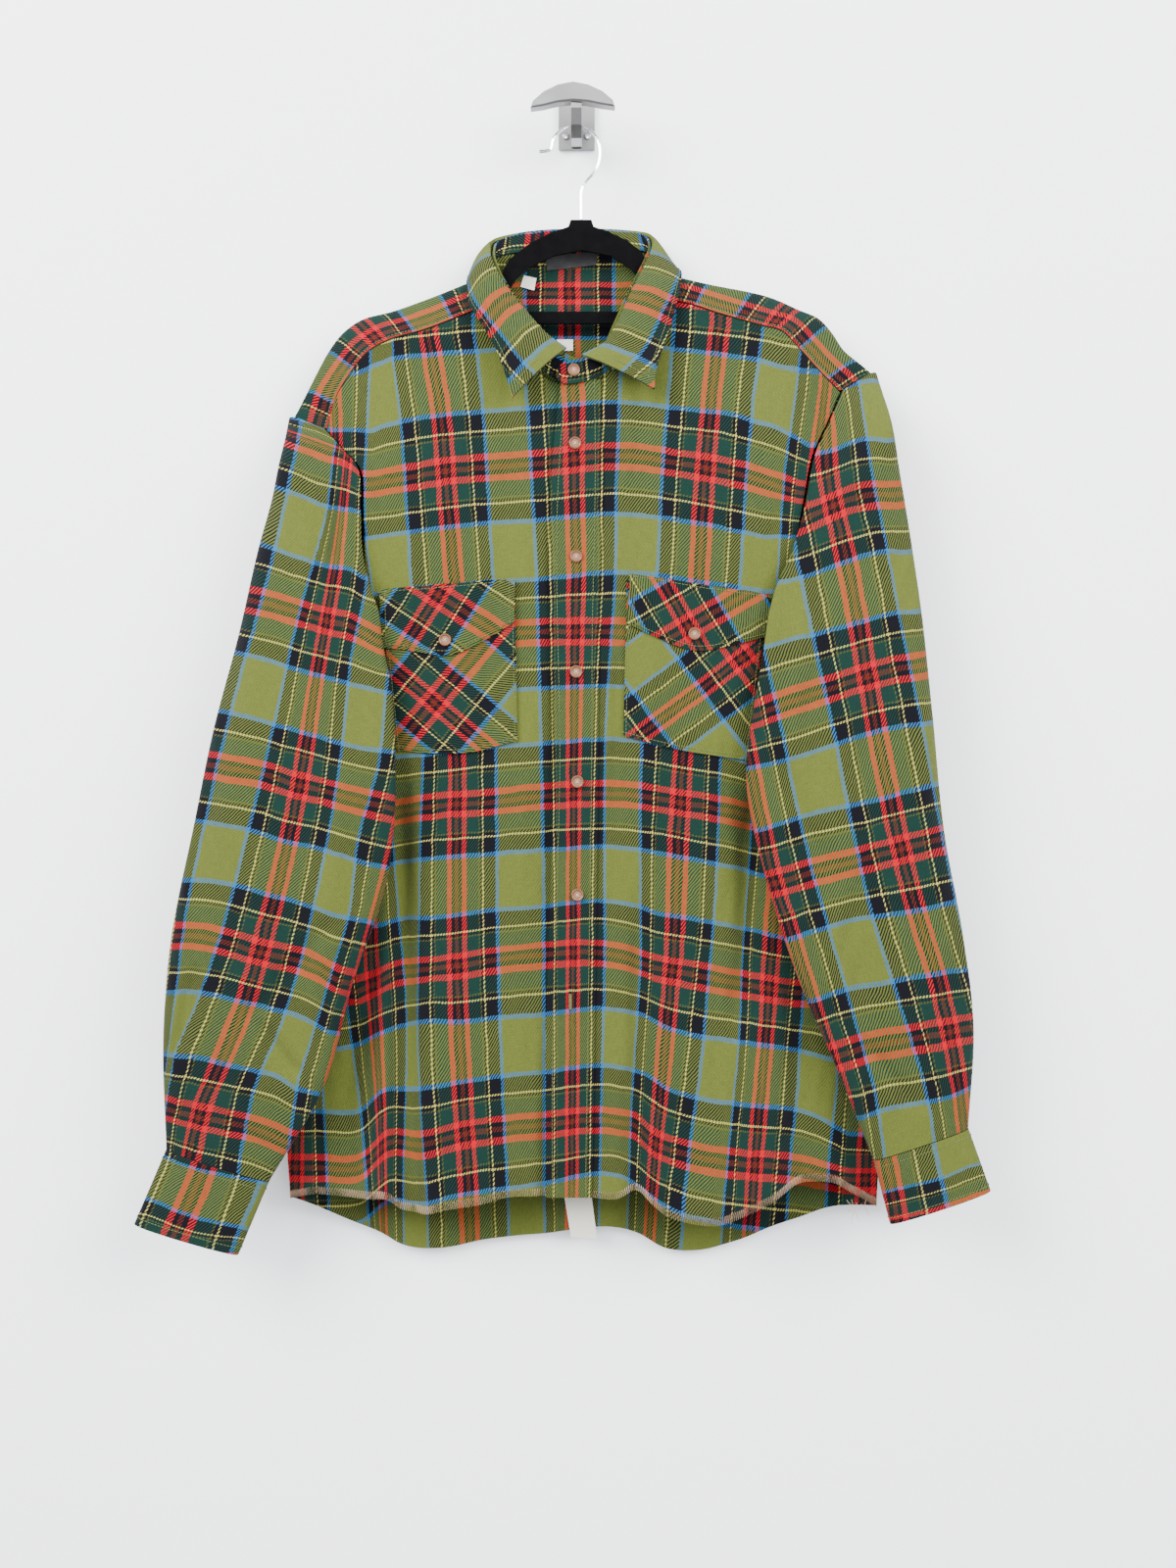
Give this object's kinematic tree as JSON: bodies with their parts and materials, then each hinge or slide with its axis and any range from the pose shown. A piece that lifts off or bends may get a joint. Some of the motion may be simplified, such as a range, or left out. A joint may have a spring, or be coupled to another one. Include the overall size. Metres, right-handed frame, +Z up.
{
  "type": "flannel shirt on a hanger and wall hook",
  "caption": "Long-sleeved check flannel shirt with chest flap pockets and a placket, hanging open-necked on a thin hanger from a wall hook.",
  "frame": {"origin": "middle of the back face of the wall hook's plate, which lies on the wall", "axes": "+Z up, -Y out of the wall towards the viewer, +X to the viewer's right"},
  "size_m": [0.723, 0.095, 1.0207],
  "materials": {
    "flannel": "brushed twill in an olive, dark green, navy and red check",
    "button": "satin, marbled wood colour",
    "label_dark": "woven, blank",
    "label_light": "satin, blank",
    "hanger_flock": "black flock on a stiff plastic frame",
    "hanger_wire": "polished",
    "hook_metal": "satin, worn"
  },
  "bodies": {
    "root": {"front_right": "flannel", "front_left": "flannel", "back": "flannel", "yoke": "flannel", "sleeve_right": "flannel", "sleeve_left": "flannel", "cuff_right": "flannel", "cuff_left": "flannel", "collar_stand": "flannel", "collar": "flannel", "placket": "flannel", "pocket_right": "flannel", "pocket_flap_right": "flannel", "pocket_left": "flannel", "pocket_flap_left": "flannel", "button_1": "button", "button_2": "button", "button_3": "button", "button_4": "button", "button_5": "button", "button_collar": "button", "button_pocket_right": "button", "button_pocket_left": "button", "button_cuff_right": "button", "button_cuff_left": "button", "label_neck": "label_dark", "label_size": "label_light", "label_small": "label_light", "label_care": "label_light", "hanger_frame": "hanger_flock", "hanger_hook": "hanger_wire", "wall_hook": "hook_metal", "screw_1": "hanger_wire", "screw_2": "hanger_wire"}
  },
  "joints": []
}
